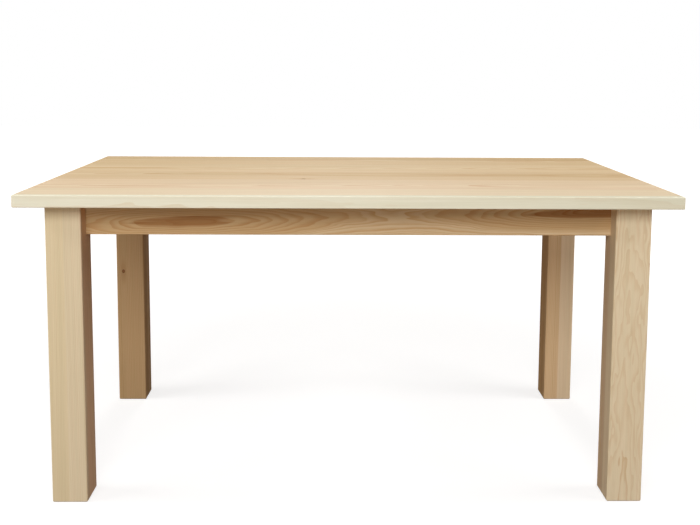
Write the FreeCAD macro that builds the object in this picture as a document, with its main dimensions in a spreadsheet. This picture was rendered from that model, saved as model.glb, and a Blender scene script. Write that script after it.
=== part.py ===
"""Dining table in solid pine.

A glued-up top rests on an apron frame that is set back from four square legs. Each leg is glued up from
two lamellas and is pulled against the ends of two aprons by a hanger bolt through a pressed steel corner
plate. Wooden buttons in grooves hold the top down and let it swell and shrink, and a middle rail stiffens it.

Frame: +X along the table, +Y towards its back, +Z up, origin on the floor below the middle of the top.
"""
import FreeCAD, Part
import Sketcher
import os

doc = FreeCAD.newDocument("dining_table")

# ---- Driving dimensions, in millimetres: name, size, what it is ----
DRIVING = [
    ("table_height", 737, "floor to the upper face of the top"),
    ("top_length", 1500, "top, end to end"),
    ("top_width", 850, "top, front to back"),
    ("top_thickness", 28, "top, planed thickness"),
    ("second_board", 170, "width of the second board of the top, counted from the front"),
    ("third_board", 174, "width of the third board"),
    ("fourth_board", 174, "width of the fourth board"),
    ("fifth_board", 119, "width of the fifth board"),
    ("boards_shift", 12.5, "how far the four inner boards lie behind the middle of the top"),
    ("edge_round", 2.5, "radius of the top's upper edges"),
    ("edge_chamfer", 1, "chamfer of the top's lower edges"),
    ("corner_round", 4, "radius of the top's corners, seen from above"),
    ("end_overhang", 55, "top past the legs at each end"),
    ("side_overhang", 55, "top past the legs at front and back"),
    ("leg_side", 82, "side of the square legs"),
    ("leg_edge_round", 3, "radius of the legs' long edges"),
    ("foot_chamfer", 2, "chamfer round the foot of each leg"),
    ("flat_margin", 2, "leg face left beside the apron before the corner is cut off"),
    ("flat_height", 74, "how far the cut corner runs down from the leg's head"),
    ("apron_height", 78, "height of the aprons"),
    ("apron_thickness", 22, "thickness of the aprons"),
    ("apron_setback", 42, "outer face of the legs to the outer face of the aprons"),
    ("apron_edge_round", 2, "radius of the aprons' lower edges"),
    ("groove_drop", 12, "underside of the top to the aprons' groove"),
    ("groove_width", 7, "groove for the buttons, up the apron"),
    ("groove_depth", 8, "groove for the buttons, into the apron"),
    ("rail_thickness", 28, "middle rail, along the table"),
    ("rail_height", 60, "middle rail, top to bottom"),
    ("rail_housing", 6, "how deep the middle rail is let into each long apron"),
    ("plate_thickness", 2.5, "sheet of the corner plates"),
    ("plate_height", 56, "height of the corner plates"),
    ("plate_drop", 9, "underside of the top to the corner plates"),
    ("plate_standoff", 12, "cut corner of the leg to the plate's web"),
    ("plate_wing", 34, "length of the plate's wings along the aprons"),
    ("plate_lip", 7, "depth of the plate's lips in the aprons' saw kerfs"),
    ("plate_bend", 3, "inner radius of the plate's bends"),
    ("plate_fold", 7, "depth of the folds along the web's upper and lower edges"),
    ("fold_inset", 3, "web left flat at each end of a fold"),
    ("kerf_clearance", 0.5, "room round the lips in their kerfs"),
    ("bolt_diameter", 8, "hanger bolts"),
    ("bolt_in_leg", 38, "wood thread of the hanger bolts"),
    ("bolt_tail", 12, "bolt thread left past the nut"),
    ("bolt_point", 6, "tapered point of the wood thread"),
    ("nut_flats", 13, "nuts, across flats"),
    ("nut_thickness", 8, "nuts, along the bolt"),
    ("flange_diameter", 18, "round flange of the nuts"),
    ("flange_thickness", 2, "round flange of the nuts"),
    ("screw_diameter", 4, "wood screws, at the head"),
    ("screw_head", 8, "wood screws, head diameter"),
    ("head_thickness", 2.4, "wood screws, head thickness"),
    ("screw_length", 34, "wood screws, under the head"),
    ("button_width", 32, "wooden buttons, along the apron"),
    ("button_reach", 38, "wooden buttons, from the apron under the top"),
    ("button_gap", 1, "shoulder of a button to the apron"),
    ("button_room", 1, "room for a button's tongue in the groove, below it and at its tip"),
    ("button_hole_reach", 21, "apron face to the screw of a button"),
    ("long_button_distance", 300, "end of a long apron to the middle of its button"),
    ("short_button_distance", 170, "end of a short apron to the middle of its button"),
    ("hole_clearance", 0.5, "radial room of the bolts in the plates and of the screws in the buttons"),
    ("thread_clearance", 0.1, "radial room of a thread in its nut or pilot hole"),
    ("pilot_extra", 2, "pilot hole past the tip of its screw or bolt"),
]

sheet = doc.addObject("Spreadsheet::Sheet", "dims")
for row, (alias, size, meaning) in enumerate(DRIVING, start=1):
    sheet.set(f"A{row}", meaning)
    sheet.set(f"B{row}", str(size))
    sheet.setAlias(f"B{row}", alias)
doc.recompute()

# ---- Places worked out from the driving dimensions, as expressions ----
TOP_UNDERSIDE = "(dims.table_height - dims.top_thickness)"
LEG_X = "(dims.top_length / 2 - dims.end_overhang - dims.leg_side / 2)"
LEG_Y = "(dims.top_width / 2 - dims.side_overhang - dims.leg_side / 2)"
LONG_APRON = f"(2 * {LEG_X} - dims.leg_side)"
SHORT_APRON = f"(2 * {LEG_Y} - dims.leg_side)"
LONG_APRON_Y = f"({LEG_Y} + dims.leg_side / 2 - dims.apron_setback)"
SHORT_APRON_X = f"({LEG_X} + dims.leg_side / 2 - dims.apron_setback)"
APRON_BOTTOM = f"({TOP_UNDERSIDE} - dims.apron_height)"

# A leg's corner, seen from above: the leg's axis is the origin and +Y points to the middle of the table.
INNER_FACE = "(dims.apron_setback + dims.apron_thickness)"
LEG_PROUD = f"(dims.leg_side - {INNER_FACE})"
FLAT_CUT = f"({LEG_PROUD} - dims.flat_margin)"
FLAT = f"((dims.leg_side - {FLAT_CUT}) / sqrt(2))"
APRONS_MEET = f"((2 * {INNER_FACE} - dims.leg_side) / sqrt(2))"
WEB_FRONT = f"({FLAT} + dims.plate_standoff)"
WEB_BACK = f"({WEB_FRONT} + dims.plate_thickness)"
WEB_HALF = f"({WEB_FRONT} - {APRONS_MEET})"
PLATE_MIDDLE = f"({TOP_UNDERSIDE} - dims.plate_drop - dims.plate_height / 2)"

# The same plate, measured along the apron from the apron's end.
WING_START = f"(sqrt(2) * {WEB_HALF} - {LEG_PROUD})"
KERF_FAR = f"({WING_START} + dims.plate_wing)"
KERF_NEAR = f"({KERF_FAR} - dims.plate_thickness)"

BUTTON_SCREW = "(dims.apron_thickness + dims.button_hole_reach)"
BUTTON_HEIGHT = "(dims.groove_drop + dims.groove_width - dims.button_room)"

CORNERS = {
    "front_left": (-1, -1, -45),
    "front_right": (1, -1, 45),
    "back_right": (1, 1, 135),
    "back_left": (-1, 1, 225),
}
UP = FreeCAD.Vector(0, 0, 1)
# Two places closer than this are one place, and two lengths closer than this are one length.
SAME = 1e-4
nodes = []


def number(expression):
    """The value of an expression in the sheet's names, in millimetres."""
    return float(sheet.evalExpression(expression))


def new_body(label):
    """An empty body that may hold several like solids."""
    body = doc.addObject("PartDesign::Body", label)
    body.Label = label
    body.AllowCompound = True
    return body


def keep(piece):
    """Lists a finished piece as a node of the table."""
    nodes.append(piece)
    return piece


def place(piece, x, y, z, turn=0):
    """Sets a piece at three expressions, turned about the vertical."""
    piece.Placement = FreeCAD.Placement(FreeCAD.Vector(0, 0, 0), FreeCAD.Rotation(UP, turn))
    piece.setExpression("Placement.Base.x", x)
    piece.setExpression("Placement.Base.y", y)
    piece.setExpression("Placement.Base.z", z)


def at_corner(body, corner, z):
    """Sets a body on the axis of a leg, with its +Y towards the middle of the table."""
    side_x, side_y, turn = CORNERS[corner]
    place(body, f"{side_x} * {LEG_X}", f"{side_y} * {LEG_Y}", z, turn)


def of_origin(body, role):
    """The plane or axis of a body's own origin."""
    for feature in body.Origin.OriginFeatures:
        if feature.Role == role:
            return feature
    raise RuntimeError(f"{body.Label} has no {role}")


def new_sketch(body, name, plane, offset="0", turn=None):
    """A sketch on one of the body's planes, moved along its normal and turned in the given way."""
    sketch = body.newObject("Sketcher::SketchObject", f"{body.Name}_{name}")
    sketch.AttachmentSupport = [(of_origin(body, plane), "")]
    sketch.MapMode = "FlatFace"
    if turn:
        sketch.AttachmentOffset = FreeCAD.Placement(FreeCAD.Vector(0, 0, 0), turn)
    if offset != "0":
        sketch.setExpression("AttachmentOffset.Base.z", offset)
    return sketch


def pin(sketch, curve, end, x, y):
    """Ties a point of a curve to the sketch's origin, by one expression across and one up."""
    for kind, axis, expression in (("DistanceX", -2, x), ("DistanceY", -1, y)):
        if expression == "0":
            sketch.addConstraint(Sketcher.Constraint("PointOnObject", curve, end, axis))
        else:
            tie = Sketcher.Constraint(kind, -1, 1, curve, end, number(expression))
            sketch.setExpression(f"Constraints[{sketch.addConstraint(tie)}]", expression)


def outline(sketch, points):
    """A closed outline of straight lines through points given as pairs of expressions."""
    spots = [FreeCAD.Vector(number(x), number(y), 0) for x, y in points]
    lines = []
    for start, end in zip(spots, spots[1:] + spots[:1]):
        lines.append(sketch.addGeometry(Part.LineSegment(start, end), False))
    for line, following in zip(lines, lines[1:] + lines[:1]):
        sketch.addConstraint(Sketcher.Constraint("Coincident", line, 2, following, 1))
    for line, (x, y) in zip(lines, points):
        pin(sketch, line, 1, x, y)


def rectangle(sketch, left, right, low, high):
    """A rectangle whose sides lie at four expressions from the sketch's origin."""
    outline(sketch, [(left, low), (right, low), (right, high), (left, high)])


def circle(sketch, x, y, diameter):
    """A circle pinned at its centre."""
    centre = FreeCAD.Vector(number(x), number(y), 0)
    ring = sketch.addGeometry(Part.Circle(centre, FreeCAD.Vector(0, 0, 1), number(diameter) / 2), False)
    pin(sketch, ring, 3, x, y)
    size = sketch.addConstraint(Sketcher.Constraint("Diameter", ring, number(diameter)))
    sketch.setExpression(f"Constraints[{size}]", diameter)


def hexagon(sketch, flats):
    """A regular hexagon round the sketch's origin, with two corners level with it."""
    corner = f"{flats} / sqrt(3)"
    outline(sketch, [
        (corner, "0"),
        (f"{corner} / 2", f"{flats} / 2"),
        (f"-{corner} / 2", f"{flats} / 2"),
        (f"-{corner}", "0"),
        (f"-{corner} / 2", f"-{flats} / 2"),
        (f"{corner} / 2", f"-{flats} / 2"),
    ])


def pad(body, sketch, name, length):
    """Raises a sketch by a length along its normal."""
    feature = body.newObject("PartDesign::Pad", f"{body.Name}_{name}")
    feature.Profile = sketch
    feature.setExpression("Length", length)
    doc.recompute()
    return feature


def pocket(body, sketch, name, depth=None, along=False):
    """Cuts a sketch into the body against its normal, or along it, to a depth or right through."""
    before = body.Shape.Volume
    feature = body.newObject("PartDesign::Pocket", f"{body.Name}_{name}")
    feature.Profile = sketch
    feature.Reversed = along
    if depth is None:
        feature.Type = "ThroughAll"
    else:
        feature.setExpression("Length", depth)
    doc.recompute()
    if body.Shape.Volume > before - SAME:
        raise RuntimeError(f"{feature.Name} cuts nothing")


def dress(body, kind, name, size, chosen):
    """Rounds or bevels the edges of the body's tip that a test chooses."""
    base = body.Tip
    picked = [f"Edge{i}" for i, edge in enumerate(base.Shape.Edges, start=1) if chosen(edge)]
    if not picked:
        raise RuntimeError(f"{body.Label}: no edge for {name}")
    feature = body.newObject(f"PartDesign::{kind}", f"{body.Name}_{name}")
    feature.Base = (base, picked)
    feature.setExpression("Radius" if kind == "Fillet" else "Size", size)
    doc.recompute()


def turn_solid(body, sketch, name, axis):
    """Revolves a half profile a full turn about one of its sketch's axes."""
    feature = body.newObject("PartDesign::Revolution", f"{body.Name}_{name}")
    feature.Profile = sketch
    feature.ReferenceAxis = (sketch, [axis])
    feature.Angle = 360
    doc.recompute()
    return feature


def mirror_sideways(body, originals):
    """Mirrors features across the body's YZ plane."""
    feature = body.newObject("PartDesign::Mirrored", f"{body.Name}_other_half")
    feature.Originals = originals
    feature.MirrorPlane = (of_origin(body, "YZ_Plane"), [""])
    body.Tip = feature
    doc.recompute()


def upright(edge):
    """True for a straight vertical edge."""
    ends = [vertex.Point for vertex in edge.Vertexes]
    return len(ends) == 2 and (ends[1] - ends[0]).cross(UP).Length < SAME


def level_at(edge, z):
    """True for an edge that lies wholly at a height in its body."""
    box = edge.BoundBox
    return abs(box.ZMin - z) < SAME and abs(box.ZMax - z) < SAME


# ---- The top: boards glued edge to edge, then trimmed, rounded over and drilled as one panel ----
def make_top():
    panel = new_body("glued_panel")
    place(panel, "0", "0", TOP_UNDERSIDE)
    plan = new_sketch(panel, "plan", "XY_Plane")
    half_length = "dims.top_length / 2"
    half_width = "dims.top_width / 2"
    rectangle(plan, f"-{half_length}", half_length, f"-{half_width}", half_width)
    pad(panel, plan, "slab", "dims.top_thickness")
    thick = number("dims.top_thickness")
    dress(panel, "Fillet", "corners", "dims.corner_round", upright)
    dress(panel, "Fillet", "upper_edges", "dims.edge_round", lambda edge: level_at(edge, thick))
    dress(panel, "Chamfer", "lower_edges", "dims.edge_chamfer", lambda edge: level_at(edge, 0))
    pilots = new_sketch(panel, "pilots", "XY_Plane")
    pilot = "dims.screw_diameter + 2 * dims.thread_clearance"
    along = f"({LONG_APRON} / 2 - dims.long_button_distance)"
    across = f"({SHORT_APRON} / 2 - dims.short_button_distance)"
    for side in (-1, 1):
        for end in (-1, 1):
            circle(pilots, f"{end} * {along}", f"{side} * ({LONG_APRON_Y} - {BUTTON_SCREW})", pilot)
            circle(pilots, f"{side} * ({SHORT_APRON_X} - {BUTTON_SCREW})", f"{end} * {across}", pilot)
    pocket(panel, pilots, "pilots_cut", f"dims.screw_length - {BUTTON_HEIGHT} + dims.pilot_extra", along=True)
    inner_boards = ["dims.second_board", "dims.third_board", "dims.fourth_board", "dims.fifth_board"]
    joint = f"dims.boards_shift - ({' + '.join(inner_boards)}) / 2"
    joints = ["-dims.top_width", joint]
    for width in inner_boards:
        joint += f" + {width}"
        joints.append(joint)
    joints.append("dims.top_width")
    for count, (near, far) in enumerate(zip(joints, joints[1:]), start=1):
        stock = doc.addObject("Part::Box", f"board_{count}_stock")
        stock.setExpression("Length", "2 * dims.top_length")
        stock.setExpression("Width", f"({far}) - ({near})")
        stock.setExpression("Height", "3 * dims.top_thickness")
        place(stock, "-dims.top_length", near, f"{TOP_UNDERSIDE} - dims.top_thickness")
        board = doc.addObject("Part::Common", f"top_board_{count}")
        board.Label = f"top_board_{count}"
        board.Base = panel
        board.Tool = stock
        keep(board)


# ---- The legs: two lamellas glued face to face and planed square ----
def make_leg(corner, joint_at_front):
    """The glue joint's line shows on the leg's front face, or else on its sides."""
    leg = new_body(f"{corner}_leg_blank")
    at_corner(leg, corner, "0")
    section = new_sketch(leg, "section", "XY_Plane", turn=FreeCAD.Rotation(UP, 45))
    half = "dims.leg_side / 2"
    rectangle(section, f"-{half}", half, f"-{half}", half)
    pad(leg, section, "post", TOP_UNDERSIDE)
    dress(leg, "Fillet", "long_edges", "dims.leg_edge_round", upright)
    dress(leg, "Chamfer", "foot", "dims.foot_chamfer", lambda edge: level_at(edge, 0))
    cut_corner = new_sketch(leg, "cut_corner", "XY_Plane", TOP_UNDERSIDE)
    rectangle(cut_corner, "-dims.leg_side", "dims.leg_side", FLAT, "dims.leg_side")
    pocket(leg, cut_corner, "flat", "dims.flat_height")
    bore = new_sketch(leg, "bore", "XZ_Plane", f"-{FLAT}")
    circle(bore, "0", PLATE_MIDDLE, "dims.bolt_diameter + 2 * dims.thread_clearance")
    pocket(leg, bore, "bolt_bore", "dims.bolt_in_leg + dims.pilot_extra", along=True)
    side_x, side_y = CORNERS[corner][:2]
    names = ("left", "right") if joint_at_front else ("front", "back")
    for name, before in zip(names, ("dims.leg_side", "0")):
        stock = doc.addObject("Part::Box", f"{corner}_{name}_stock")
        wide, deep = "dims.leg_side", "2 * dims.leg_side"
        left, front = before, "dims.leg_side"
        if not joint_at_front:
            wide, deep = deep, wide
            left, front = front, left
        stock.setExpression("Length", wide)
        stock.setExpression("Width", deep)
        stock.setExpression("Height", "2 * dims.table_height")
        place(stock, f"{side_x} * {LEG_X} - {left}", f"{side_y} * {LEG_Y} - {front}",
              "-dims.table_height / 2")
        lamella = doc.addObject("Part::Common", f"{corner}_leg_{name}_lamella")
        lamella.Label = f"{corner}_leg_{name}_lamella"
        lamella.Base = leg
        lamella.Tool = stock
        keep(lamella)


# ---- The aprons: plain boards between the legs, grooved, sawn and drilled on their inner faces ----
def make_apron(side, length, x, y, turn, is_long):
    """In the board's own frame X runs along it, Y goes from its outer to its inner face, Z is up."""
    apron = keep(new_body(f"{side}_apron"))
    place(apron, x, y, APRON_BOTTOM, turn)
    half = f"{length} / 2"
    past = "2 * dims.apron_thickness"
    plan = new_sketch(apron, "plan", "XY_Plane")
    rectangle(plan, f"-{half}", half, "0", "dims.apron_thickness")
    pad(apron, plan, "board", "dims.apron_height")
    dress(apron, "Fillet", "lower_edges", "dims.apron_edge_round",
          lambda edge: level_at(edge, 0) and abs(edge.CenterOfMass.x) < SAME)
    groove = new_sketch(apron, "groove", "XZ_Plane", "-dims.apron_thickness")
    rectangle(groove, f"-{half}", half, "dims.apron_height - dims.groove_drop - dims.groove_width",
              "dims.apron_height - dims.groove_drop")
    pocket(apron, groove, "groove_cut", "dims.groove_depth", along=True)
    kerfs = new_sketch(apron, "kerfs", "XY_Plane")
    near = f"{half} - {KERF_NEAR} + dims.kerf_clearance"
    far = f"{half} - {KERF_FAR} - dims.kerf_clearance"
    floor = "dims.apron_thickness - dims.plate_lip - dims.kerf_clearance"
    rectangle(kerfs, far, near, floor, past)
    rectangle(kerfs, f"-({near})", f"-({far})", floor, past)
    pocket(apron, kerfs, "kerfs_cut", along=True)
    if is_long:
        housing = new_sketch(apron, "housing", "XY_Plane", "dims.apron_height")
        rectangle(housing, "-dims.rail_thickness / 2", "dims.rail_thickness / 2",
                  "dims.apron_thickness - dims.rail_housing", past)
        pocket(apron, housing, "housing_cut", "dims.rail_height")


# ---- The middle rail: on edge under the top, its ends let into the long aprons ----
def make_rail():
    rail = keep(new_body("middle_rail"))
    place(rail, "0", "0", f"{TOP_UNDERSIDE} - dims.rail_height")
    plan = new_sketch(rail, "plan", "XY_Plane")
    half_length = f"({LONG_APRON_Y} - dims.apron_thickness + dims.rail_housing)"
    half_width = "dims.rail_thickness / 2"
    rectangle(plan, f"-{half_width}", half_width, f"-{half_length}", half_length)
    pad(rail, plan, "board", "dims.rail_height")


# ---- The buttons: rebated blocks whose tongues ride in the aprons' grooves, screwed up into the top ----
def make_buttons(side, length, x, y, turn, distance):
    """One button near each end of an apron, in the frame of that apron."""
    shoulder = "dims.apron_thickness + dims.button_gap"
    tip = "dims.apron_thickness - dims.groove_depth + dims.button_room"
    end_grain = "dims.apron_thickness + dims.button_reach"
    tongue_top = "dims.apron_height - dims.groove_drop"
    underside = f"dims.apron_height - {BUTTON_HEIGHT}"
    offset = f"({length} / 2 - {distance})"
    for number_in_row, end in enumerate((-1, 1), start=1):
        button = keep(new_body(f"{side}_button_{number_in_row}"))
        place(button, x, y, APRON_BOTTOM, turn)
        profile = new_sketch(button, "profile", "YZ_Plane", f"{end} * {offset} - dims.button_width / 2")
        outline(profile, [
            (tip, underside),
            (end_grain, underside),
            (end_grain, "dims.apron_height"),
            (shoulder, "dims.apron_height"),
            (shoulder, tongue_top),
            (tip, tongue_top),
        ])
        pad(button, profile, "block", "dims.button_width")
        hole = new_sketch(button, "hole", "XY_Plane")
        circle(hole, f"{end} * {offset}", BUTTON_SCREW, "dims.screw_diameter + 2 * dims.hole_clearance")
        pocket(button, hole, "hole_cut", along=True)

    screws = new_body(f"{side}_button_screws")
    place(screws, x, y, APRON_BOTTOM, turn)
    profile = new_sketch(screws, "profile", "XZ_Plane", f"-{BUTTON_SCREW}")
    profile.setExpression("AttachmentOffset.Base.x", offset)
    profile.setExpression("AttachmentOffset.Base.y", underside)
    outline(profile, [
        ("0", "-dims.head_thickness"),
        ("dims.screw_head / 2", "-dims.head_thickness"),
        ("dims.screw_head / 2", "0"),
        ("dims.screw_diameter / 2", "0"),
        ("dims.screw_diameter / 2", "dims.screw_length"),
        ("0", "dims.screw_length"),
    ])
    mirror_sideways(screws, [turn_solid(screws, profile, "turned", "V_Axis")])
    return screws


# ---- The corner plates: pressed sheet with a folded web, two wings and two lips in saw kerfs ----
def make_corner_plate(corner):
    """Seen from above the web crosses the corner and the wings lie flat on the aprons. The lips and the folds
    are bent sharp, so that only their outsides are round."""
    plate = keep(new_body(f"{corner}_corner_plate"))
    at_corner(plate, corner, PLATE_MIDDLE)
    thick = "dims.plate_thickness"
    low = "-dims.plate_height / 2"
    back_half = f"({WEB_HALF} - {thick} * (sqrt(2) - 1))"
    wing = "dims.plate_wing / sqrt(2)"
    near = f"(dims.plate_wing - {thick}) / sqrt(2)"
    lip = "dims.plate_lip / sqrt(2)"
    lip_root = (f"{WEB_HALF} + {near}", f"{WEB_FRONT} + {near}")
    wing_end = (f"{WEB_HALF} + {wing} - {thick} / sqrt(2)", f"{WEB_FRONT} + {wing} + {thick} / sqrt(2)")
    profile = new_sketch(plate, "profile", "XY_Plane", low)
    outline(profile, [
        ("0", WEB_FRONT),
        (WEB_HALF, WEB_FRONT),
        lip_root,
        (f"{WEB_HALF} + {near} + {lip}", f"{WEB_FRONT} + {near} - {lip}"),
        (f"{WEB_HALF} + {wing} + {lip}", f"{WEB_FRONT} + {wing} - {lip}"),
        wing_end,
        (back_half, WEB_BACK),
        ("0", WEB_BACK),
    ])
    mirror_sideways(plate, [pad(plate, profile, "half", "dims.plate_height")])
    for name, size, spot in (
            ("web_outside", f"dims.plate_bend + {thick}", (WEB_HALF, WEB_FRONT)),
            ("web_inside", "dims.plate_bend", (back_half, WEB_BACK)),
            ("lip_outside", thick, wing_end)):
        across, inward = number(spot[0]), number(spot[1])
        dress(plate, "Fillet", name, size, lambda edge: upright(edge)
              and abs(abs(edge.CenterOfMass.x) - across) + abs(edge.CenterOfMass.y - inward) < SAME)

    fold_half = f"({WEB_HALF} - dims.plate_bend - {thick} - dims.fold_inset)"
    fold_back = f"({WEB_BACK} + dims.plate_fold)"
    for name, bottom in (("lower_fold", low), ("upper_fold", f"dims.plate_height / 2 - {thick}")):
        shelf = new_sketch(plate, name, "XY_Plane", bottom)
        rectangle(shelf, f"-{fold_half}", fold_half, WEB_FRONT, fold_back)
        pad(plate, shelf, f"{name}_pad", thick)
    reliefs = new_sketch(plate, "reliefs", "XZ_Plane")
    relief_end = f"({fold_half} + dims.fold_inset / 2)"
    for side in ("", "-"):
        edge = f"{side}(dims.plate_height / 2 - 2 * {thick})"
        past = f"{side}dims.plate_height"
        rectangle(reliefs, fold_half, relief_end, edge, past)
        rectangle(reliefs, f"-{relief_end}", f"-{fold_half}", edge, past)
    pocket(plate, reliefs, "reliefs_cut")
    half_height = number("dims.plate_height / 2")
    front = number(WEB_FRONT)
    dress(plate, "Fillet", "folds", thick, lambda edge: (
        level_at(edge, half_height) or level_at(edge, -half_height))
        and abs(edge.CenterOfMass.x) < SAME and abs(edge.CenterOfMass.y - front) < SAME)

    bolt_hole = new_sketch(plate, "bolt_hole", "XZ_Plane")
    circle(bolt_hole, "0", "0", "dims.bolt_diameter + 2 * dims.hole_clearance")
    pocket(plate, bolt_hole, "bolt_hole_cut")


# ---- The fasteners at each corner: a hanger bolt and its flanged nut ----
def make_bolt(corner):
    """Wood thread in the leg, then a machine thread through the plate's web."""
    bolt = new_body(f"{corner}_hanger_bolt")
    at_corner(bolt, corner, PLATE_MIDDLE)
    tip = f"{FLAT} - dims.bolt_in_leg"
    tail = f"{WEB_BACK} + dims.nut_thickness + dims.bolt_tail"
    radius = "dims.bolt_diameter / 2"
    profile = new_sketch(bolt, "profile", "YZ_Plane")
    outline(profile, [(tip, "0"), (f"{tip} + dims.bolt_point", radius), (tail, radius), (tail, "0")])
    turn_solid(bolt, profile, "turned", "H_Axis")
    return bolt


def make_nut(corner):
    """A hexagon nut with a round flange that bears on the plate's web."""
    nut = new_body(f"{corner}_flange_nut")
    at_corner(nut, corner, PLATE_MIDDLE)
    bore = "dims.bolt_diameter + 2 * dims.thread_clearance"
    flats = new_sketch(nut, "flats", "XZ_Plane", f"-({WEB_BACK} + dims.nut_thickness)")
    hexagon(flats, "dims.nut_flats")
    circle(flats, "0", "0", bore)
    pad(nut, flats, "hexagon", "dims.nut_thickness")
    flange = new_sketch(nut, "flange", "XZ_Plane", f"-({WEB_BACK} + dims.flange_thickness)")
    circle(flange, "0", "0", "dims.flange_diameter")
    circle(flange, "0", "0", bore)
    pad(nut, flange, "flange_pad", "dims.flange_thickness")
    return nut


def gather(label, bodies):
    """One node for fasteners that are all alike."""
    group = doc.addObject("Part::Compound", label)
    group.Label = label
    group.Links = bodies
    keep(group)


make_top()
make_leg("front_left", True)
make_leg("front_right", False)
make_leg("back_right", True)
make_leg("back_left", False)
SIDES = [
    ("front", LONG_APRON, "0", f"-{LONG_APRON_Y}", 0, True),
    ("back", LONG_APRON, "0", LONG_APRON_Y, 180, True),
    ("left", SHORT_APRON, f"-{SHORT_APRON_X}", "0", -90, False),
    ("right", SHORT_APRON, SHORT_APRON_X, "0", 90, False),
]
button_screws = []
for side, length, x, y, turn, is_long in SIDES:
    make_apron(side, length, x, y, turn, is_long)
    distance = "dims.long_button_distance" if is_long else "dims.short_button_distance"
    button_screws.append(make_buttons(side, length, x, y, turn, distance))
gather("button_screws", button_screws)
make_rail()
for corner in CORNERS:
    make_corner_plate(corner)
gather("hanger_bolts", [make_bolt(corner) for corner in CORNERS])
gather("flange_nuts", [make_nut(corner) for corner in CORNERS])

doc.recompute()
for item in doc.Objects:
    if "Invalid" in item.State or "Error" in item.State:
        raise RuntimeError(f"{item.Name} failed: {item.State}")
for node in nodes:
    if node.Shape.isNull() or not node.Shape.isValid() or not node.Shape.Solids:
        raise RuntimeError(f"{node.Label} has no valid solid")

os.makedirs("parts", exist_ok=True)
for node in nodes:
    node.Shape.exportStep(f"parts/{node.Label}.step")
    print(f"{node.Label}: {len(node.Shape.Solids)} solid(s), {node.Shape.Volume / 1000:.1f} cm3")
print(f"{len(nodes)} nodes")
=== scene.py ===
"""Dining table in pale pine, dressed piece by piece in the order in which it is put together. Metres."""
from math import cos, inf, pi, radians, sin, tan

import bmesh
import bpy
from mathutils import Matrix, Vector


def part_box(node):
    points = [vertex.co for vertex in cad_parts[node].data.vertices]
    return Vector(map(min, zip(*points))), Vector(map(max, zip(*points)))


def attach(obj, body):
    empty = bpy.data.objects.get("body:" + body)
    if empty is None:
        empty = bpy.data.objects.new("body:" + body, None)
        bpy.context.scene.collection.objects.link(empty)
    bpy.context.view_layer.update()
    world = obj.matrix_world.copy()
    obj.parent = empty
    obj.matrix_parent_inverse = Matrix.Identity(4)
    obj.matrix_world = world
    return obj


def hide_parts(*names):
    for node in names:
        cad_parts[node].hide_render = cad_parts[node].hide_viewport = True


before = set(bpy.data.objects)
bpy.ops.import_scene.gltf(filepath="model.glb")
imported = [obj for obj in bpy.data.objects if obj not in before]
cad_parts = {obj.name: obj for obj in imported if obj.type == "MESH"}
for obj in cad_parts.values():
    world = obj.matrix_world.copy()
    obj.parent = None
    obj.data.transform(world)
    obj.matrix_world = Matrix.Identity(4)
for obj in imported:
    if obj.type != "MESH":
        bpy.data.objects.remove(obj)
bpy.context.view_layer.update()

body = "root"

# ---- Legs ----
# Four square posts, each glued up from two pine lamellas and planed to one size. Every lamella comes from
# another log: most are quiet and straight, and one has a bold flame down its front. Three have a redder,
# darker heartwood turned onto the legs' inner faces, which is painted shade between the legs. The back left
# leg is darker all over, which is painted shade, and the back right leg is paler, which is painted light.


def feed(tree, kind, inputs, **options):
    """Adds a node to a tree, sets its options, and feeds its inputs with numbers or other nodes' outputs."""
    made = tree.nodes.new(kind)
    for option, value in options.items():
        setattr(made, option, value)
    for name, source in inputs.items():
        if isinstance(source, bpy.types.NodeSocket):
            tree.links.new(source, made.inputs[name])
        else:
            made.inputs[name].default_value = source
    return made


def calc(tree, operation, *numbers):
    """One sum on numbers or on other nodes' outputs."""
    return feed(tree, "ShaderNodeMath", dict(enumerate(numbers)), operation=operation).outputs[0]


def span(tree, one_way, other_way):
    """The distance to a line, from the distances to it on two axes square to it."""
    squares = calc(tree, "ADD", calc(tree, "POWER", one_way, 2.0), calc(tree, "POWER", other_way, 2.0))
    return calc(tree, "SQRT", squares)


def ramp(tree, value, start, end, low=0.0, high=1.0):
    """A smooth step from low to high as the value goes from start to end."""
    limits = {"Value": value, "From Min": start, "From Max": end, "To Min": low, "To Max": high}
    return feed(tree, "ShaderNodeMapRange", limits, interpolation_type="SMOOTHSTEP").outputs["Result"]


def blend(tree, share, first, second, way="MIX"):
    """One colour laid over another by a share."""
    made = feed(tree, "ShaderNodeMix", {0: share, 6: first, 7: second}, data_type="RGBA", blend_type=way)
    return made.outputs[2]


def stretched_noise(tree, place, along, across, detail=2.0):
    """Noise drawn out along the grain: features per metre along it and across it."""
    scaled = feed(tree, "ShaderNodeVectorMath", {0: place, 1: (along, across, across)}, operation="MULTIPLY")
    return feed(tree, "ShaderNodeTexNoise", {"Vector": scaled.outputs[0], "Scale": 1.0, "Detail": detail})


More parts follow.
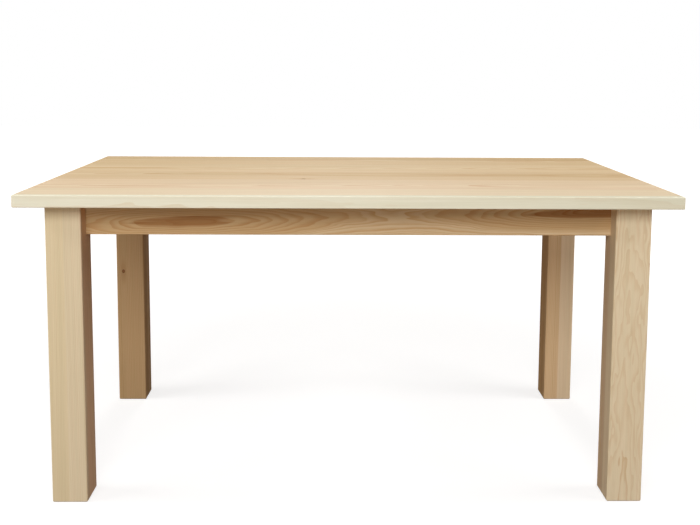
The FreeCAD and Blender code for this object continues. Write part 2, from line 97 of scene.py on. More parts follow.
def grow_pine():
    """The wood inside a pine log, as a solid pattern: rings round a pith that leans and wanders, each pale
    at first and ending in a dark line, with heartwood near the pith, fibres, and room for one knot. Where it
    is cut across the grain it is darker, and its rings are plainer."""
    tree = bpy.data.node_groups.new("pine growth", "ShaderNodeTree")
    numbers = ("Seed", "Pith across", "Pith through", "Lean across", "Lean through", "Swing across",
               "Swing through", "Swing at", "Wander", "Waves", "Ring", "Core", "Heart", "Line", "Knot along",
               "Knot across", "Knot radius", "End grain")
    tree.interface.new_socket("Place", in_out="INPUT", socket_type="NodeSocketVector")
    for name in numbers:
        tree.interface.new_socket(name, in_out="INPUT", socket_type="NodeSocketFloat")
    for name in ("Sapwood", "Heartwood", "Corewood"):
        tree.interface.new_socket(name, in_out="INPUT", socket_type="NodeSocketColor")
    tree.interface.new_socket("Colour", in_out="OUTPUT", socket_type="NodeSocketColor")
    for name in ("Roughness", "Relief"):
        tree.interface.new_socket(name, in_out="OUTPUT", socket_type="NodeSocketFloat")
    given = tree.nodes.new("NodeGroupInput").outputs
    split = feed(tree, "ShaderNodeSeparateXYZ", {0: given["Place"]}).outputs
    along, across, through = split[0], split[1], split[2]
    shifted = feed(tree, "ShaderNodeVectorMath", {0: given["Place"], 1: given["Seed"]}, operation="ADD")
    shifted = shifted.outputs[0]

    # The knot is longer than wide, and the discoloured wood round it longer still. The rings part round it
    # and run on undisturbed from a few radii off.
    knot_stretch, halo_stretch, no_knot = 1.3, 3.0, 1e-5
    knot_along = calc(tree, "SUBTRACT", along, given["Knot along"])
    knot_along = calc(tree, "DIVIDE", knot_along, knot_stretch)
    knot_across = calc(tree, "SUBTRACT", across, given["Knot across"])
    from_knot = span(tree, knot_along, knot_across)
    radius = calc(tree, "MAXIMUM", given["Knot radius"], no_knot)
    in_radii = calc(tree, "DIVIDE", from_knot, radius)
    parting = ramp(tree, in_radii, 0.6, 4.5, 0.85, 0.0)
    drawn_out = span(tree, calc(tree, "DIVIDE", knot_along, halo_stretch), knot_across)
    drawn_out = calc(tree, "DIVIDE", drawn_out, radius)
    across = calc(tree, "SUBTRACT", across, calc(tree, "MULTIPLY", knot_across, parting))

    # Distance from the pith, which leans, bows once a metre and wanders slowly along the log. The rings are
    # a little wavy, and runs of good and bad years make them wider and narrower.
    runs_per_metre, runs_effect = 60.0, 0.006
    wander = stretched_noise(tree, shifted, 1.4, 1.4, 0.0).outputs[1]
    wander = feed(tree, "ShaderNodeSeparateColor", {0: wander}).outputs
    waves = stretched_noise(tree, shifted, 9.0, 42.0, 2.0).outputs[0]
    turn = calc(tree, "MULTIPLY", calc(tree, "SUBTRACT", along, given["Swing at"]), 2 * pi)
    turn = calc(tree, "COSINE", turn)
    away = []
    for place, way, sway in ((across, "across", wander[0]), (through, "through", wander[1])):
        middle = calc(tree, "MULTIPLY_ADD", given[f"Lean {way}"], along, given[f"Pith {way}"])
        middle = calc(tree, "MULTIPLY_ADD", given[f"Swing {way}"], turn, middle)
        middle = calc(tree, "MULTIPLY_ADD", calc(tree, "SUBTRACT", sway, 0.5), given["Wander"], middle)
        away.append(calc(tree, "SUBTRACT", place, middle))
    distance = span(tree, *away)
    distance = calc(tree, "MULTIPLY_ADD", calc(tree, "SUBTRACT", waves, 0.5), given["Waves"], distance)
    years = calc(tree, "MULTIPLY_ADD", distance, runs_per_metre, given["Seed"])
    years = feed(tree, "ShaderNodeTexNoise", {"W": years, "Scale": 1.0, "Detail": 1.0},
                 noise_dimensions="1D")
    distance = calc(tree, "MULTIPLY_ADD", years.outputs[0], runs_effect, distance)

    # One ring: pale early wood, darkening late wood, and a sharp edge where the next year starts. Weak years
    # have a fainter line than strong ones.
    darkens, darkest, pales, weakest = 0.25, 0.93, 0.94, 0.4
    year = calc(tree, "DIVIDE", distance, given["Ring"])
    season = calc(tree, "FRACT", year)
    late = ramp(tree, season, darkens, darkest)
    late = calc(tree, "MULTIPLY", late, ramp(tree, season, pales, 1.0, 1.0, 0.0))
    vigour = feed(tree, "ShaderNodeTexWhiteNoise", {"W": calc(tree, "FLOOR", year)}, noise_dimensions="1D")
    late = calc(tree, "MULTIPLY", late, calc(tree, "MULTIPLY_ADD", vigour.outputs[0], 1 - weakest, weakest))

    # Colours: sapwood, heartwood and a ragged core, each with darker lines, resin in some fibres, and shades
    # that are deeper in blue than in red.
    line_tint, end_grain_tint = (0.75, 0.53, 0.33, 1.0), (0.80, 0.72, 0.62, 1.0)
    heart_inside, heart_outside, core_inside, core_outside, raggedness = 0.008, 0.006, 0.003, 0.001, 0.012
    plain_shade, fibre_shade, streak_shade, cloud_shade, blue_power = 0.77, 0.16, 0.18, 0.12, 1.5
    fibres = stretched_noise(tree, shifted, 12.0, 900.0, 3.0).outputs[0]
    streaks = stretched_noise(tree, shifted, 1.6, 95.0, 2.0).outputs[0]
    clouds = stretched_noise(tree, shifted, 1.1, 8.0, 1.0).outputs[0]
    heart = ramp(tree, distance, calc(tree, "SUBTRACT", given["Heart"], heart_inside),
                 calc(tree, "ADD", given["Heart"], heart_outside), 1.0, 0.0)
    colour = blend(tree, heart, given["Sapwood"], given["Heartwood"])
    ragged = calc(tree, "MULTIPLY_ADD", calc(tree, "SUBTRACT", streaks, 0.5), raggedness, distance)
    core = ramp(tree, ragged, calc(tree, "SUBTRACT", given["Core"], core_inside),
                calc(tree, "ADD", given["Core"], core_outside), 1.0, 0.0)
    colour = blend(tree, core, colour, given["Corewood"])
    line_colour = blend(tree, 1.0, colour, line_tint, "MULTIPLY")
    strength = calc(tree, "MULTIPLY_ADD", given["End grain"], 0.5, given["Line"])
    colour = blend(tree, calc(tree, "MULTIPLY", late, strength), colour, line_colour)
    resin = ramp(tree, fibres, 0.66, 0.74, 0.0, 0.35)
    colour = blend(tree, resin, colour, line_colour)
    shade = calc(tree, "MULTIPLY_ADD", fibres, fibre_shade, plain_shade)
    shade = calc(tree, "MULTIPLY_ADD", streaks, streak_shade, shade)
    shade = calc(tree, "MULTIPLY_ADD", clouds, cloud_shade, shade)
    blue_shade = calc(tree, "POWER", shade, blue_power)
    shades = feed(tree, "ShaderNodeCombineXYZ", {0: shade, 1: shade, 2: blue_shade})
    colour = blend(tree, 1.0, colour, shades.outputs[0], "MULTIPLY")
    colour = blend(tree, given["End grain"], colour, end_grain_tint, "MULTIPLY")

    # The knot's colours: a brown halo, tight dark rings of its own, and a rim of black bark.
    halo_colour, bark_colour = (0.46, 0.25, 0.11, 1.0), (0.09, 0.035, 0.015, 1.0)
    branch_early, branch_late, branch_ring = (0.36, 0.18, 0.08, 1.0), (0.24, 0.11, 0.045, 1.0), 0.0013
    halo = ramp(tree, drawn_out, 0.6, 3.2, 0.42, 0.0)
    colour = blend(tree, halo, colour, halo_colour)
    branch_season = calc(tree, "FRACT", calc(tree, "DIVIDE", from_knot, branch_ring))
    branch = blend(tree, branch_season, branch_early, branch_late)
    branch = blend(tree, ramp(tree, in_radii, 0.8, 0.98), branch, bark_colour)
    colour = blend(tree, ramp(tree, in_radii, 0.97, 1.06, 1.0, 0.0), colour, branch)

    # Late wood is a little smoother than early wood and stands proud of it; strong fibres are rougher and
    # stand out more.
    rough = calc(tree, "MULTIPLY_ADD", late, -0.12, 0.72)
    rough = calc(tree, "MULTIPLY_ADD", fibres, 0.12, rough)
    relief = calc(tree, "MULTIPLY_ADD", fibres, 0.8, calc(tree, "MULTIPLY", late, 0.5))
    feed(tree, "NodeGroupOutput", {"Colour": colour, "Roughness": rough, "Relief": relief})
    return tree


pine_growth = grow_pine()
seed_step = 3.7
pieces_of_pine = []


def saw_from_pine(node, grain, pith, lean, ring, sapwood, heartwood, heart, line, knot=(0.0, 0.0, 0.0),
                  swing=(0.0, 0.0, 0.0), wander=0.035, waves=0.0045, core=-1.0, corewood=(0.42, 0.23, 0.09)):
    """Cuts a piece from its own log. Pith is how far the log's middle lies from the piece's middle, on the
    two axes square to the grain; lean is the slope of the pith on them, and swing its bow on them and where
    the bow peaks; ring is a year's width; heart and core are the radii of the darker wood inside; line is
    how strong the rings are drawn; knot is its place along, across and its radius."""
    wood = bpy.data.materials.new(f"pine of {node}")
    wood.use_nodes = True
    tree = wood.node_tree
    lowest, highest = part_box(node)
    middle = tuple((low + high) / 2 for low, high in zip(lowest, highest))
    on_piece = feed(tree, "ShaderNodeTexCoord", {}).outputs
    place = feed(tree, "ShaderNodeVectorMath", {0: on_piece["Object"], 1: middle}, operation="SUBTRACT")
    axes = feed(tree, "ShaderNodeSeparateXYZ", {0: place.outputs[0]}).outputs
    order = {"X": (0, 1, 2), "Y": (1, 0, 2), "Z": (2, 0, 1)}[grain]
    place = feed(tree, "ShaderNodeCombineXYZ", {at: axes[axis] for at, axis in enumerate(order)}).outputs[0]
    facing = feed(tree, "ShaderNodeSeparateXYZ", {0: on_piece["Normal"]}).outputs[order[0]]
    pieces_of_pine.append(node)
    growth = feed(tree, "ShaderNodeGroup", {}, node_tree=pine_growth)
    tree.links.new(place, growth.inputs["Place"])
    tree.links.new(ramp(tree, calc(tree, "ABSOLUTE", facing), 0.4, 0.9), growth.inputs["End grain"])
    settings = {
        "Seed": seed_step * len(pieces_of_pine), "Ring": ring, "Line": line, "Wander": wander, "Waves": waves,
        "Pith across": pith[0], "Pith through": pith[1], "Lean across": lean[0], "Lean through": lean[1],
        "Swing across": swing[0], "Swing through": swing[1], "Swing at": swing[2],
        "Knot along": knot[0], "Knot across": knot[1], "Knot radius": knot[2],
        "Heart": heart, "Core": core, "Corewood": (*corewood, 1.0),
        "Sapwood": (*sapwood, 1.0), "Heartwood": (*heartwood, 1.0)}
    for name, value in settings.items():
        growth.inputs[name].default_value = value
    grain_relief = feed(tree, "ShaderNodeBump", {"Height": growth.outputs["Relief"], "Strength": 0.35,
                                                 "Distance": 0.0004})
    surface = tree.nodes["Principled BSDF"]
    tree.links.new(growth.outputs["Colour"], surface.inputs["Base Color"])
    tree.links.new(growth.outputs["Roughness"], surface.inputs["Roughness"])
    tree.links.new(grain_relief.outputs[0], surface.inputs["Normal"])
    surface.inputs["Specular IOR Level"].default_value = 0.08
    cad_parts[node].data.materials[0] = wood


saw_from_pine("front_left_leg_left_lamella", "Z", pith=(-0.19, 0.02), lean=(0.012, 0.0), ring=0.0031,
              sapwood=(0.73, 0.62, 0.41), heartwood=(0.69, 0.53, 0.33), heart=0.05, line=0.30)
# This lamella's redder heartwood lies on the leg's inner face, as painted warm shade between the legs.
saw_from_pine("front_left_leg_right_lamella", "Z", pith=(0.17, 0.03), lean=(-0.004, 0.0), ring=0.0034,
              sapwood=(0.725, 0.62, 0.43), heartwood=(0.755, 0.53, 0.35), heart=0.168, line=0.30,
              wander=0.008)
saw_from_pine("front_right_leg_front_lamella", "Z", pith=(-0.004, 0.085), lean=(0.006, 0.010), ring=0.0029,
              sapwood=(0.79, 0.67, 0.47), heartwood=(0.72, 0.55, 0.36), heart=0.03, line=0.5, waves=0.013)
saw_from_pine("front_right_leg_back_lamella", "Z", pith=(-0.09, 0.04), lean=(0.0, 0.01), ring=0.0036,
              sapwood=(0.73, 0.57, 0.38), heartwood=(0.68, 0.50, 0.31), heart=0.04, line=0.6)
# The back right leg's lamellas are paler than the others, which is painted light; the left lamella's darker
# heartwood on the inner face is painted shade between the legs.
saw_from_pine("back_right_leg_left_lamella", "Z", pith=(-0.17, 0.03), lean=(0.004, 0.0), ring=0.0040,
              sapwood=(0.81, 0.59, 0.35), heartwood=(0.66, 0.435, 0.215), heart=0.168, line=0.45,
              wander=0.008)
saw_from_pine("back_right_leg_right_lamella", "Z", pith=(-0.16, 0.02), lean=(0.008, 0.0), ring=0.0030,
              sapwood=(0.87, 0.70, 0.48), heartwood=(0.79, 0.60, 0.38), heart=0.05, line=0.35)
# The back left leg's lamellas are darker and warmer than the others, which is painted shade from the front
# leg and the top; the front lamella's darker heartwood on the inner face adds painted shade between the legs.
saw_from_pine("back_left_leg_front_lamella", "Z", pith=(0.14, 0.03), lean=(-0.004, 0.0), ring=0.0042,
              sapwood=(0.60, 0.415, 0.22), heartwood=(0.50, 0.325, 0.155), heart=0.114, line=0.45,
              wander=0.008, knot=(0.046, -0.0205, 0.0043))
saw_from_pine("back_left_leg_back_lamella", "Z", pith=(0.06, 0.05), lean=(0.012, 0.0), ring=0.0035,
              sapwood=(0.60, 0.42, 0.235), heartwood=(0.545, 0.365, 0.19), heart=0.05, line=0.5)

# ---- Hanger bolts ----
# Four zinc-plated steel bolts, each turned down in a leg by its coarse wood thread. The other end carries a
# machine thread that reaches through the corner plate, towards the middle of the table.


def plate_with_zinc(name, tint, roughness):
    """Zinc plating: a thin bright metal film, clouded by handling."""
    zinc = bpy.data.materials.new(name)
    zinc.use_nodes = True
    tree = zinc.node_tree
    place = feed(tree, "ShaderNodeTexCoord", {}).outputs["Object"]
    clouds = feed(tree, "ShaderNodeTexNoise", {"Vector": place, "Scale": 70.0, "Detail": 4.0}).outputs[0]
    lines_per_metre = (1500.0, 1500.0, 60.0)
    stretched = feed(tree, "ShaderNodeVectorMath", {0: place, 1: lines_per_metre}, operation="MULTIPLY")
    rolling = feed(tree, "ShaderNodeTexNoise", {"Vector": stretched.outputs[0], "Scale": 1.0, "Detail": 2.0})
    dullness, clouding = 0.72, 0.25
    dull = tuple(dullness * part for part in tint)
    colour = blend(tree, ramp(tree, clouds, 0.35, 0.72, 0.0, 0.8), (*tint, 1.0), (*dull, 1.0))
    rough = calc(tree, "MULTIPLY_ADD", clouds, clouding, roughness - clouding / 2)
    relief = feed(tree, "ShaderNodeBump", {"Height": rolling.outputs[0], "Strength": 0.2,
                                           "Distance": 0.0001})
    surface = tree.nodes["Principled BSDF"]
    tree.links.new(colour, surface.inputs["Base Color"])
    tree.links.new(rough, surface.inputs["Roughness"])
    tree.links.new(relief.outputs[0], surface.inputs["Normal"])
    surface.inputs["Metallic"].default_value = 1.0
    return zinc


def spin(rows, segments, joined=False):
    """A skin round the Z axis; each row gives its radius and height at an angle. The last row is joined to
    the first, or else both ends are closed."""
    skin = bmesh.new()
    rings = []
    for row in rows:
        ring = []
        for step in range(segments):
            angle = 2 * pi * step / segments
            radius, height = row(angle)
            ring.append(skin.verts.new((radius * cos(angle), radius * sin(angle), height)))
        rings.append(ring)
    for low, high in zip(rings, rings[1:] + rings[:1] if joined else rings[1:]):
        for step in range(segments):
            after = (step + 1) % segments
            skin.faces.new((low[step], low[after], high[after], high[step]))
    if not joined:
        skin.faces.new(rings[0][::-1])
        skin.faces.new(rings[-1])
    return skin


def thread_rows(low, high, pitch, radius, depth, crest, runout):
    """Rows of a screw thread: a groove that climbs one pitch a turn and fades out at both ends. Radius gives
    the outside at a height; crest is the share of the pitch that stands proud; runout is the length over
    which the groove fades."""
    rows_per_turn, flank_slope = 7, 1.3
    rows = []
    steps = round((high - low) / pitch * rows_per_turn)
    for step in range(steps + 1):
        height = low + (high - low) * step / steps
        fade = min(1.0, (height - low) / runout, (high - height) / runout)

        def row(angle, height=height, fade=fade):
            turned = (height / pitch - angle / (2 * pi)) % 1.0
            from_crest = abs(2 * turned - 1)
            groove = min(1.0, max(0.0, (from_crest - crest) / (1 - crest) * flank_slope))
            return radius(height) - depth * fade * groove, height

        rows.append(row)
    return rows


def set_in(name, skin, places, node, zinc):
    """Puts copies of one fastener in their places, as one object instead of the node of that group."""
    single = bpy.data.meshes.new(f"single_{name}")
    skin.to_mesh(single)
    together = bmesh.new()
    for place in places:
        copied = single.copy()
        copied.transform(place)
        together.from_mesh(copied)
        bpy.data.meshes.remove(copied)
    bpy.data.meshes.remove(single)
    bmesh.ops.recalc_face_normals(together, faces=together.faces)
    mesh = bpy.data.meshes.new(name)
    together.to_mesh(mesh)
    mesh.shade_smooth()
    mesh.set_sharp_from_angle(angle=radians(38))
    mesh.materials.append(zinc)
    fasteners = bpy.data.objects.new(name, mesh)
    bpy.context.scene.collection.objects.link(fasteners)
    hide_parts(node)
    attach(fasteners, body)


# A bolt's own Z runs from its point in the leg towards the middle of the table, with 0 at the leg's axis.
leg_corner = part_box("front_left_leg_left_lamella")[0]
plate_low, plate_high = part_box("front_left_corner_plate")
half_leg = 0.041
leg_x, leg_y = -leg_corner[0] - half_leg, -leg_corner[1] - half_leg
bolt_height = (plate_low[2] + plate_high[2]) / 2
corner_places = []
for side_x, side_y, turned in ((-1, -1, -45), (1, -1, 45), (1, 1, 135), (-1, 1, 225)):
    corner_places.append(Matrix.Translation((side_x * leg_x, side_y * leg_y, bolt_height))
                         @ Matrix.Rotation(radians(turned), 4, "Z") @ Matrix.Rotation(-pi / 2, 4, "X"))
bolt_tip, leg_flat, bolt_tail = 0.00867, 0.04667, 0.08117
bolt_radius, point_radius, point_slope, tail_radius, plain_half = 0.004, 0.0008, 0.55, 0.0031, 0.002
fastener_zinc = plate_with_zinc("zinc on fasteners", (0.62, 0.63, 0.64), 0.34)


def bolt_outside(height):
    """A tapered point, a straight shank and a small bevel at the tail."""
    point = point_radius + (height - bolt_tip) * point_slope
    tail = tail_radius + (bolt_tail - height)
    return max(point_radius, min(bolt_radius, point, tail))


bolt_rows = thread_rows(bolt_tip, leg_flat - plain_half, pitch=0.0030, radius=bolt_outside, depth=0.0011,
                        crest=0.22, runout=0.002)
bolt_rows += thread_rows(leg_flat + plain_half, bolt_tail, pitch=0.00125, radius=bolt_outside,
                         depth=0.00068, crest=0.12, runout=0.001)
set_in("threaded_hanger_bolts", spin(bolt_rows, 20), corner_places, "hanger_bolts", fastener_zinc)

# ---- Aprons ----
# Four flat-sawn boards on edge that join the legs under the top. The front one was cut near the heart of
# its log: a reddish tongue lies towards its left end and another at its right end, arches run out from both,
# and between them its lower edge is sapwood. The front one's colours are also darker than the other aprons',
# which is painted shade from the top's overhang.

# Darker than the other aprons: these colours carry painted shade from the top's overhang on top of the wood's
# own tone.
saw_from_pine("front_apron", "X", pith=(-0.0385, 0.002), lean=(0.006, 0.030), ring=0.0036,
              sapwood=(0.665, 0.505, 0.305), heartwood=(0.58, 0.40, 0.21), heart=0.048, line=0.65,
              swing=(0.0185, 0.0, -0.385), wander=0.008, waves=0.009, core=0.0212,
              corewood=(0.40, 0.21, 0.085))
saw_from_pine("back_apron", "X", pith=(0.030, -0.010), lean=(-0.030, 0.010), ring=0.0046,
              sapwood=(0.75, 0.58, 0.38), heartwood=(0.62, 0.42, 0.24), heart=0.022, line=0.8)
saw_from_pine("left_apron", "Y", pith=(0.045, 0.012), lean=(0.040, 0.012), ring=0.0042,
              sapwood=(0.74, 0.57, 0.38), heartwood=(0.64, 0.44, 0.26), heart=0.026, line=0.75)
saw_from_pine("right_apron", "Y", pith=(-0.050, -0.008), lean=(0.045, -0.010), ring=0.0047,
              sapwood=(0.75, 0.58, 0.38), heartwood=(0.64, 0.44, 0.26), heart=0.024, line=0.75)

# ---- Middle rail ----
# A planed pine board on edge across the middle of the table. Its ends are let into the long aprons, and it
# keeps the top from sagging and the aprons from bowing. Its edges are eased with sandpaper.


def ease_edges(node, width):
    """Takes the sharpness off a planed piece's edges, once its faces are joined."""
    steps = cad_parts[node].modifiers
    steps.new("joined faces", "WELD").merge_threshold = 1e-5
    eased = steps.new("eased edges", "BEVEL")
    eased.width = width
    eased.segments = 3
    eased.limit_method = "ANGLE"
    eased.angle_limit = radians(60)
    eased.use_clamp_overlap = False


saw_from_pine("middle_rail", "Y", pith=(0.08, 0.05), lean=(0.02, 0.015), ring=0.0036,
              sapwood=(0.74, 0.57, 0.37), heartwood=(0.66, 0.47, 0.28), heart=0.045, line=0.65)
ease_edges("middle_rail", 0.0015)

# ---- Corner plates ----
# Pressed from zinc-plated sheet: a folded web across each corner, two wings flat on the aprons, and lips in
# their saw kerfs. The plating is a cool grey with soft clouds and a faint rolling direction up the sheet.

sheet_zinc = plate_with_zinc("zinc on sheet", (0.60, 0.62, 0.65), 0.42)
for corner in ("front_left", "front_right", "back_right", "back_left"):
    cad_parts[f"{corner}_corner_plate"].data.materials[0] = sheet_zinc

# ---- Flange nuts ----
# One zinc-plated hexagon nut on each bolt. Its flange is formed on and bears on the corner plate, and its
# outer end is chamfered, so that it draws the leg hard against the ends of both aprons.

nut_face, nut_thickness, nut_apothem = 0.06117, 0.008, 0.0065
bore_radius, mouth_radius, mouth_depth, end_radius = 0.0041, 0.0046, 0.0005, 0.0062
flange_outline = ((0.0087, 0.0), (0.0090, 0.0003), (0.0090, 0.0010), (0.0087, 0.0013))
flats_start, flats_end = 0.0019, nut_thickness - 0.0009
chamfer_steps = (0.00075, 0.0006, 0.00045, 0.0003, 0.00015, 0.0)


def ring_of(radius, height):
    """A round row."""
    return lambda angle: (radius, height)


def hexagon_row(height, limit=inf):
    """A row with six flats, kept inside a radius."""
    def row(angle):
        flat = nut_apothem / cos(angle % (pi / 3) - pi / 6)
        return min(flat, limit), height
    return row


nut_rows = [ring_of(bore_radius, mouth_depth), ring_of(mouth_radius, 0.0)]
nut_rows += [ring_of(radius, height) for radius, height in flange_outline]
nut_rows += [hexagon_row(flats_start), hexagon_row(flats_end)]
for below_end in chamfer_steps:
    nut_rows.append(hexagon_row(nut_thickness - below_end, end_radius + below_end * tan(pi / 3)))
nut_rows += [ring_of(mouth_radius, nut_thickness), ring_of(bore_radius, nut_thickness - mouth_depth)]
nut_places = [place @ Matrix.Translation((0.0, 0.0, nut_face)) for place in corner_places]
set_in("chamfered_flange_nuts", spin(nut_rows, 48, joined=True), nut_places, "flange_nuts", fastener_zinc)

# ---- Top ----
# Six pine boards glued edge to edge, then sanded flush and rounded over. The front board is pale sapwood;
# the boards get warmer towards the back. A small knot lies near the front of the third.

saw_from_pine("top_board_1", "X", pith=(0.10, -0.020), lean=(0.004, 0.006), ring=0.0042,
              sapwood=(0.79, 0.77, 0.62), heartwood=(0.78, 0.65, 0.46), heart=0.150, line=0.25,
              wander=0.012)
saw_from_pine("top_board_2", "X", pith=(-0.03, -0.075), lean=(0.010, 0.022), ring=0.0044,
              sapwood=(0.77, 0.62, 0.43), heartwood=(0.74, 0.57, 0.38), heart=0.075, line=0.6)
saw_from_pine("top_board_3", "X", pith=(0.02, 0.085), lean=(-0.008, -0.018), ring=0.0040,
              sapwood=(0.715, 0.555, 0.345), heartwood=(0.67, 0.50, 0.29), heart=0.080, line=0.65,
              knot=(-0.115, -0.073, 0.0042))
saw_from_pine("top_board_4", "X", pith=(-0.01, -0.080), lean=(0.012, 0.020), ring=0.0046,
              sapwood=(0.73, 0.575, 0.355), heartwood=(0.70, 0.525, 0.305), heart=0.080, line=0.6)
saw_from_pine("top_board_5", "X", pith=(0.05, -0.055), lean=(-0.010, 0.016), ring=0.0041,
              sapwood=(0.70, 0.54, 0.32), heartwood=(0.66, 0.49, 0.28), heart=0.065, line=0.65)
saw_from_pine("top_board_6", "X", pith=(-0.04, 0.060), lean=(0.008, -0.014), ring=0.0043,
              sapwood=(0.68, 0.52, 0.30), heartwood=(0.64, 0.47, 0.26), heart=0.060, line=0.65)

# ---- Buttons ----
# Eight rebated blocks of beech, a pinkish and even wood. Their grain runs out through their tongues, which
# ride in the aprons' grooves, so the top can swell and shrink. Their edges are eased.


def saw_from_beech(grain):
    """Steamed beech: soft streaks and short dark flecks, both along the grain."""
    beech = bpy.data.materials.new(f"beech along {grain}")
    beech.use_nodes = True
    tree = beech.node_tree
    place = feed(tree, "ShaderNodeTexCoord", {}).outputs["Object"]
    stretch = tuple(0.2 if axis == grain else 1.0 for axis in "XYZ")
    place = feed(tree, "ShaderNodeVectorMath", {0: place, 1: stretch}, operation="MULTIPLY").outputs[0]
    flecks = feed(tree, "ShaderNodeTexVoronoi", {"Vector": place, "Scale": 1100.0}).outputs["Distance"]
    flecks = ramp(tree, flecks, 0.12, 0.28, 0.55, 0.0)
    streaks = feed(tree, "ShaderNodeTexNoise", {"Vector": place, "Scale": 260.0, "Detail": 3.0}).outputs[0]
    colour = blend(tree, ramp(tree, streaks, 0.35, 0.65), (0.66, 0.46, 0.30, 1.0), (0.57, 0.38, 0.24, 1.0))
    colour = blend(tree, flecks, colour, (0.34, 0.19, 0.10, 1.0))
    pores = feed(tree, "ShaderNodeBump", {"Height": calc(tree, "MULTIPLY_ADD", flecks, -1.0, streaks),
                                          "Strength": 0.3, "Distance": 0.0002})
    surface = tree.nodes["Principled BSDF"]
    tree.links.new(colour, surface.inputs["Base Color"])
    tree.links.new(calc(tree, "MULTIPLY_ADD", streaks, 0.2, 0.5), surface.inputs["Roughness"])
    tree.links.new(pores.outputs[0], surface.inputs["Normal"])
    return beech


for grain, sides in (("Y", ("front", "back")), ("X", ("left", "right"))):
    beech = saw_from_beech(grain)
    for side in sides:
        for count in (1, 2):
            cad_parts[f"{side}_button_{count}"].data.materials[0] = beech
            ease_edges(f"{side}_button_{count}", 0.0006)

# ---- Button screws ----
# Eight zinc-plated wood screws with round heads and a cross recess, driven up through the buttons into
# the top. Below the head each has a smooth shank, then a coarse thread that ends in a short taper.

screw_length, shank_end, thread_start = 0.034, 0.0085, 0.009
shank_radius, tip_radius, tip_slope = 0.002, 0.0005, 0.4
head_radius, head_flat, head_thickness, head_rim = 0.004, 0.0006, 0.0024, 0.0006
rim_bevel, head_steps = 0.0001, 8


def screw_outside(height):
    """A straight shank and a tapered tip, above the seat of the head."""
    return max(tip_radius, min(shank_radius, tip_radius + (screw_length - height) * tip_slope))


screw_rows = [ring_of(head_flat, -head_thickness)]
for step in range(1, head_steps + 1):
    slope = pi / 2 * step / head_steps
    dome = -head_rim - (head_thickness - head_rim) * cos(slope)
    screw_rows.append(ring_of(head_radius * sin(slope), dome))
screw_rows += [ring_of(head_radius, -rim_bevel), ring_of(head_radius - rim_bevel, 0.0)]
screw_rows += [ring_of(shank_radius, 0.0), ring_of(shank_radius, shank_end)]
screw_rows += thread_rows(thread_start, screw_length, pitch=0.0019, radius=screw_outside, depth=0.0006,
                          crest=0.25, runout=0.0015)
screw_skin = spin(screw_rows, 20)
bmesh.ops.recalc_face_normals(screw_skin, faces=screw_skin.faces)

# The cutter is a cross that narrows with depth, from a little above the head down into it.
cutter_skin = bmesh.new()
cutter_rings = []
cross_mouth, cross_bottom = (0.0024, 0.00055, -head_thickness - 0.0004), (0.0009, 0.0004, -0.0007)
for long_half, short_half, height in (cross_mouth, cross_bottom):
    arm = ((long_half, -short_half), (long_half, short_half), (short_half, short_half))
    ring = []
    for quarter in range(4):
        for x, y in arm:
            around = Matrix.Rotation(quarter * pi / 2, 2) @ Vector((x, y))
            ring.append(cutter_skin.verts.new((*around, height)))
    cutter_rings.append(ring)
mouth, bottom = cutter_rings
for step in range(len(mouth)):
    after = (step + 1) % len(mouth)
    cutter_skin.faces.new((mouth[step], mouth[after], bottom[after], bottom[step]))
cutter_skin.faces.new(mouth[::-1])
cutter_skin.faces.new(bottom)
bmesh.ops.recalc_face_normals(cutter_skin, faces=cutter_skin.faces)
blanks = []
for name, skin in (("screw_blank", screw_skin), ("recess_cutter", cutter_skin)):
    blank_mesh = bpy.data.meshes.new(name)
    skin.to_mesh(blank_mesh)
    blank = bpy.data.objects.new(name, blank_mesh)
    bpy.context.scene.collection.objects.link(blank)
    blanks.append(blank)
recess = blanks[0].modifiers.new("recess", "BOOLEAN")
recess.operation = "DIFFERENCE"
recess.solver = "EXACT"
recess.object = blanks[1]
recessed = blanks[0].evaluated_get(bpy.context.evaluated_depsgraph_get())
screw_skin = bmesh.new()
screw_skin.from_mesh(recessed.to_mesh())
recessed.to_mesh_clear()
for blank in blanks:
    bpy.data.objects.remove(blank)

# One screw through the middle of each button's width, at one distance from the apron's outer face. Each
# recess is turned further than the one before it, so that no two point the same way.
from_apron_face, first_turn, next_turn = 0.043, 20, 31
front_button_low, front_button_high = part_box("front_button_1")
left_button_low, left_button_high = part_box("left_button_1")
screw_seat = front_button_low[2]
long_x = (front_button_low[0] + front_button_high[0]) / 2
long_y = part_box("front_apron")[0][1] + from_apron_face
short_y = (left_button_low[1] + left_button_high[1]) / 2
short_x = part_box("left_apron")[0][0] + from_apron_face
screw_places = []
for x, y in ((long_x, long_y), (short_x, short_y)):
    for side_x in (-1, 1):
        for side_y in (-1, 1):
            turned = radians(first_turn + next_turn * len(screw_places))
            screw_places.append(Matrix.Translation((side_x * x, side_y * y, screw_seat))
                                @ Matrix.Rotation(turned, 4, "Z"))
set_in("recessed_button_screws", screw_skin, screw_places, "button_screws", fastener_zinc)

# ---- Floor, light and camera ----
# A pale floor and backdrop under seven soft lamps, seen from the front at a little above table height. The
# floor looks white and keeps the table's shadow, but gives back only a dim, warm light.


def seen_plainly(tree):
    """One for rays from the eye, from a mirror or through glass; nought for light that only lights."""
    rays = feed(tree, "ShaderNodeLightPath", {}).outputs
    seen = calc(tree, "MAXIMUM", rays["Is Camera Ray"], rays["Is Glossy Ray"])
    return calc(tree, "MAXIMUM", seen, rays["Is Transmission Ray"])


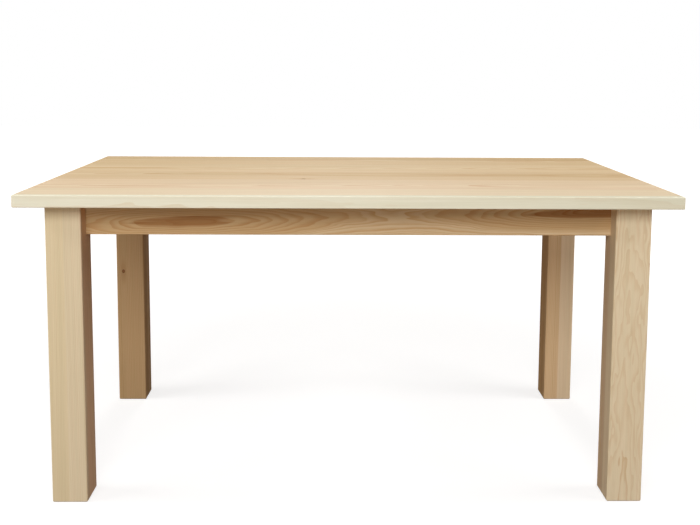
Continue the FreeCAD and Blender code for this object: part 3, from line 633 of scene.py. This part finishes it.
floor_mesh = bpy.data.meshes.new("floor")
reach, below_feet = 12.0, 0.0003
outline = [(-reach, -reach, 0.0), (reach, -reach, 0.0), (reach, reach, 0.0), (-reach, reach, 0.0)]
floor_mesh.from_pydata(outline, [], [(0, 1, 2, 3)])
floor = bpy.data.objects.new("floor", floor_mesh)
floor.location.z = -below_feet
bpy.context.scene.collection.objects.link(floor)
paint = bpy.data.materials.new("pale floor")
paint.use_nodes = True
tree = paint.node_tree
tree.nodes.clear()
seen = seen_plainly(tree)
spot = feed(tree, "ShaderNodeTexCoord", {}).outputs["Object"]
distance = feed(tree, "ShaderNodeVectorMath", {0: spot}, operation="LENGTH").outputs["Value"]
floor_bounce, floor_look, white = (0.18, 0.105, 0.05, 1.0), (0.36, 0.36, 0.36, 1.0), (1.0, 1.0, 1.0, 1.0)
matt = feed(tree, "ShaderNodeBsdfDiffuse", {"Color": blend(tree, seen, floor_bounce, floor_look)})
glow = calc(tree, "MULTIPLY", seen, ramp(tree, distance, 1.0, 3.0, 0.74, 1.0))
glow = feed(tree, "ShaderNodeEmission", {"Color": white, "Strength": glow})
both = feed(tree, "ShaderNodeAddShader", {0: matt.outputs[0], 1: glow.outputs[0]})
from_below = feed(tree, "ShaderNodeNewGeometry", {}).outputs["Backfacing"]
clear = feed(tree, "ShaderNodeBsdfTransparent", {})
either = feed(tree, "ShaderNodeMixShader", {0: from_below, 1: both.outputs[0], 2: clear.outputs[0]})
feed(tree, "ShaderNodeOutputMaterial", {"Surface": either.outputs[0]})
floor_mesh.materials.append(paint)

world = bpy.data.worlds.new("studio")
world.use_nodes = True
bpy.context.scene.world = world
tree = world.node_tree
seen = seen_plainly(tree)
room_light, room_strength = (1.0, 0.74, 0.50, 1.0), 0.10
sky = tree.nodes["Background"]
tree.links.new(blend(tree, seen, room_light, white), sky.inputs["Color"])
tree.links.new(calc(tree, "MULTIPLY_ADD", seen, 1.0 - room_strength, room_strength), sky.inputs["Strength"])


def hang_light(name, place, target, size, watts):
    """A soft rectangular lamp that faces a point."""
    lamp = bpy.data.lights.new(name, "AREA")
    lamp.shape = "RECTANGLE"
    lamp.size, lamp.size_y = size
    lamp.energy = watts
    lit = bpy.data.objects.new(name, lamp)
    lit.location = place
    lit.rotation_euler = (Vector(target) - Vector(place)).to_track_quat("-Z", "Y").to_euler()
    bpy.context.scene.collection.objects.link(lit)


hang_light("front light", (-0.5, -3.6, 2.3), target=(0.0, 0.0, 0.45), size=(3.0, 1.4), watts=87.0)
hang_light("low fill light", (-0.6, -4.2, 0.9), target=(0.1, 0.0, 0.4), size=(1.2, 1.0), watts=31.0)
hang_light("fore right light", (3.3, -0.9, 2.7), target=(0.0, -0.1, 0.6), size=(1.8, 0.8), watts=42.0)
hang_light("fore left light", (-3.3, -0.9, 2.7), target=(0.0, -0.1, 0.6), size=(1.8, 0.8), watts=46.0)
hang_light("right light", (3.4, 0.0, 3.0), target=(0.0, 0.0, 0.5), size=(1.0, 0.8), watts=31.0)
hang_light("left light", (-3.4, 0.0, 3.0), target=(0.0, 0.0, 0.5), size=(1.0, 0.8), watts=31.0)
hang_light("back light", (0.0, 8.0, 3.8), target=(0.0, 0.0, 0.5), size=(1.6, 1.2), watts=210.0)

camera_data = bpy.data.cameras.new("camera")
camera_data.sensor_width = 36.0
camera_data.lens = 46.6
camera_data.shift_y = -0.15
camera = bpy.data.objects.new("camera", camera_data)
eye, yaw, pitch, roll = (-0.0304, -2.4160, 1.0300), 0.0148, -0.1033, 0.0055
camera.matrix_world = (Matrix.Translation(eye) @ Matrix.Rotation(-yaw, 4, "Z")
                       @ Matrix.Rotation(pi / 2 + pitch, 4, "X") @ Matrix.Rotation(roll, 4, "Z"))
bpy.context.scene.collection.objects.link(camera)
bpy.context.scene.camera = camera
bpy.context.scene.view_settings.view_transform = "Standard"
